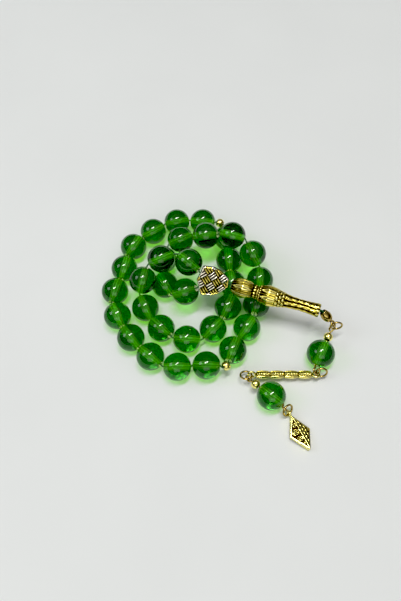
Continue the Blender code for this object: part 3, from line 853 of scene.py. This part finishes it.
def make_pins():
    """Wire through a tail bead and its ball, with a loop bent at each end."""
    for name, bead_name, top, foot, rings in (
            ("eye_pin_1", "tail_bead_1", PIN_1_TOP, PIN_1_FOOT, ("jump_ring_1", "jump_ring_2")),
            ("eye_pin_2", "tail_bead_2", PIN_2_TOP, PIN_2_FOOT, ("jump_ring_3", "jump_ring_4"))):
        bead = link_point(bead_name)
        axis = (top - bead).normalized()
        upper = eye_arc(top, -axis, loop_normal(rings[0], top, axis))
        lower = eye_arc(foot, axis, loop_normal(rings[1], foot, axis))
        straight_top = bead + axis * (BEAD_RADIUS + 2 * BALL_RADIUS + 2 * BALL_GAP)
        straight_foot = bead - axis * (BEAD_RADIUS + BALL_GAP)
        path = even_path(upper[::-1] + [straight_top, straight_foot] + lower, 0.14 * MM, 2)
        verts, faces, relief = sweep(path, WIRE_RADIUS, sides=14)
        mesh_object("wire_" + name, verts, faces, OLIVE_GILT, name, name, relief * 0.85)


# ---------------------------------------------------------------- clamshell, bar and pendant
CLAMSHELL_OUTER = [(1.2, 2.3), (1.55, 1.6), (1.8, 0.6), (1.8, -0.4), (1.45, -1.5), (0.8, -2.2), (0.02, -2.4)]
CLAMSHELL_INNER = [(0.02, -1.4), (0.9, -1.1), (1.3, -0.3), (1.3, 0.6), (1.05, 1.5), (1.0, 2.3)]


def rounded(profile, count):
    """A smooth line of evenly placed points along a short profile."""
    return even_path([(r * MM, 0, z * MM) for r, z in profile], 0.09 * MM, count)


def make_clamshell():
    """A cup of two shells with a seam between them, and the hook at its foot."""
    axis = (CLAMSHELL_FOOT - KNOT).normalized()
    profile = np.concatenate([rounded(CLAMSHELL_OUTER, 6), rounded(CLAMSHELL_INNER, 3)])
    columns = 64
    theta = np.linspace(0, 2 * np.pi, columns, endpoint=False)[None, :]
    seam = np.exp(-(np.sin(theta) / 0.09) ** 2)
    outside = (np.arange(len(profile)) < len(rounded(CLAMSHELL_OUTER, 6)))[:, None]
    radii = profile[:, :1] - 0.1 * MM * seam * outside
    verts = turned(np.maximum(radii, 0.01 * MM), profile[:, 2:], columns)
    # Painted shade: the seam and the inside of the cup get low relief, which the gilt paints near black.
    relief = np.where(outside, 0.85 - 0.8 * seam, 0.1)
    faces = [face[::-1] for face in grid_faces(len(profile), columns, wrap_rows=True)]
    cup = placed((verts, faces, relief), facing(KNOT, -axis))
    hook = sweep(circle(facing(CLAMSHELL_FOOT, loop_normal("jump_ring_1", CLAMSHELL_FOOT, axis)), EYE_RADIUS),
                 WIRE_RADIUS, sides=14, closed=True)
    verts, faces, relief = join(cup, hook)
    mesh_object("gilt_clamshell", verts, faces, OLIVE_GILT, "clamshell", "clamshell", relief)


BAR_SEGMENTS = 4


def bar_relief(s, theta, length):
    """A toothed band along the upper and lower side of each segment, between rounded rims."""
    upright = np.arcsin(np.clip(np.abs(np.sin(theta)), 0, 1))
    tooth = 0.5 + 0.5 * np.cos(2 * np.pi * s / (0.62 * MM))
    band = smooth_step(0.62 - upright, 0, 0.08)
    groove = np.exp(-((upright - 0.72) / 0.09) ** 2) + np.exp(-((upright - 1.22) / 0.07) ** 2)
    sections = cell(s / (length / BAR_SEGMENTS))
    waist = np.exp(-((0.5 - np.abs(sections)) / 0.035) ** 2)
    # These heights also paint shade: the gilt darkens the grooves, the gaps between teeth and each waist.
    heights = np.where(band > 0.5, 0.25 + 0.7 * tooth, 0.95) * (1 - np.clip(groove, 0, 1)) * (1 - 0.8 * waist)
    return heights


def make_bar():
    """Four waisted segments with toothed bands, and an eye at each end."""
    axis = (BAR_RIGHT - BAR_LEFT).normalized()
    reach = BAR_EYE_RADIUS + BAR_EYE_WIRE - 0.15 * MM
    length = (BAR_RIGHT - BAR_LEFT).length - 2 * reach
    columns = 96
    s = np.linspace(0, length, 240)
    share = s / length * BAR_SEGMENTS
    wave = 0.78 + 0.22 * np.abs(np.sin(np.pi * share))
    ends = np.clip(np.minimum(s, length - s) / (0.5 * MM), 0, 1)
    radius = BAR_RADIUS * wave * np.sqrt(1 - (1 - ends) ** 2 * 0.85)
    theta = np.linspace(0, 2 * np.pi, columns, endpoint=False)[None, :]
    heights = bar_relief(s[:, None], theta, length)
    radii = radius[:, None] - 0.26 * MM * (1 - heights) * ends[:, None]
    verts = turned(radii, s, columns)
    faces = grid_faces(len(s), columns)
    faces += [tuple(range(columns - 1, -1, -1)), tuple(range((len(s) - 1) * columns, len(s) * columns))]
    body = placed((verts, faces, heights), facing(BAR_LEFT + axis * reach, axis))
    eyes = []
    for link, centre in (("jump_ring_2", BAR_RIGHT), ("jump_ring_3", BAR_LEFT)):
        eyes.append(sweep(circle(facing(centre, loop_normal(link, centre, axis)), BAR_EYE_RADIUS),
                          BAR_EYE_WIRE, sides=14, closed=True))
    verts, faces, relief = join(body, *eyes)
    mesh_object("gilt_bar_link", verts, faces, GILT, "bar_link", "bar_link", relief)


PENDANT_LEAN = math.atan((PENDANT_THICKNESS - PENDANT_RIM) / PENDANT_WIDTH)


def pendant_matrix():
    """Local X runs down the pendant and local Z is its face; it leans back on one of its facets."""
    turn = Matrix.Rotation(PENDANT_HEADING, 4, "Z") @ Matrix.Rotation(-PENDANT_LEAN, 4, "X")
    centre = PENDANT_TOP + turn.to_3x3() @ Vector((PENDANT_LENGTH / 2, 0, 0))
    centre.z = PENDANT_THICKNESS / 2 * math.cos(PENDANT_LEAN)
    return Matrix.Translation(centre) @ turn


def scroll(x, y, centre, radius, hand):
    """A curled ridge round a centre: one turn of a spiral that opens outwards."""
    dx, dy = x - centre[0], y - centre[1]
    distance = np.hypot(dx, dy)
    turn = np.arctan2(hand * dy, dx) / (2 * np.pi)
    ridge = 0.5 + 0.5 * np.cos(2 * np.pi * (distance / (radius * 0.52) - turn))
    return ridge * smooth_step(radius - distance, 0, 0.25)


def pendant_surface(x, y, share, side):
    """Scrolls on the left facet, rows of pits on the right one, and a plain rim and ridge between."""
    x_mm, y_mm = x / MM, y / MM
    scrolls = np.maximum.reduce([scroll(x_mm, y_mm, (px, py), size, hand) for px, py, size, hand in
                                 ((-2.9, -0.95, 0.95, 1), (-0.6, -1.75, 1.35, -1), (1.9, -1.2, 1.15, 1),
                                  (-0.9, -0.1, 0.5, 1), (3.7, -0.6, 0.6, -1))])
    pit_x, pit_y = cell(x_mm / 1.35 + 0.5 * (np.floor(y_mm / 1.05) % 2)) * 1.35, cell(y_mm / 1.05) * 1.05
    pits = 1 - np.exp(-((pit_x**2 + pit_y**2) / 0.17) ** 1.5)
    field = np.where(y_mm < 0, 0.2 + 0.8 * scrolls, pits)
    ridge = round_bump(y_mm - 0.05, 0.28)
    rim = smooth_step(share, 0.88, 0.90)
    groove = np.exp(-((share - 0.865) / 0.018) ** 2)
    heights = np.clip(np.maximum.reduce([field * (1 - groove), ridge, rim]), 0, 1)
    ridge_half = PENDANT_WIDTH / 2 * PENDANT_THICKNESS / (PENDANT_THICKNESS - PENDANT_RIM)
    half = PENDANT_THICKNESS / 2 * (1 - np.abs(y) / ridge_half)
    shoulder = np.where(share > 0.985, 0.8, 1.0)
    return side * (half - 0.24 * MM * (1 - heights)) * shoulder, heights


def make_pendant():
    """The rhombus with its bail."""
    angles = np.linspace(0, 2 * np.pi, 360, endpoint=False)
    length, width = PENDANT_LENGTH / 2, PENDANT_WIDTH / 2
    reach = star_outline([(length, 0), (0, width), (-length, 0), (0, -width)], angles, 3)
    shares = np.concatenate([np.linspace(0.004, 0.85, 76), np.linspace(0.858, 1.0, 16)])
    body = placed(two_faced(reach, angles, shares, pendant_surface), pendant_matrix())
    down = pendant_matrix().to_3x3() @ Vector((1, 0, 0))
    bail = sweep(circle(facing(PENDANT_BAIL, loop_normal("jump_ring_4", PENDANT_BAIL, down)), EYE_RADIUS),
                 WIRE_RADIUS, sides=14, closed=True)
    verts, faces, relief = join(body, bail)
    # Painted shade: the gilt darkens the pits, the groove by the rim and the other low places.
    mesh_object("gilt_pendant", verts, faces, GILT, "pendant", "pendant", relief**PENDANT_SHADE_POWER)


make_beads()
make_balls()
make_imame()
make_plate()
make_thread()
make_knot()
make_rings()
make_pins()
make_clamshell()
make_bar()
make_pendant()
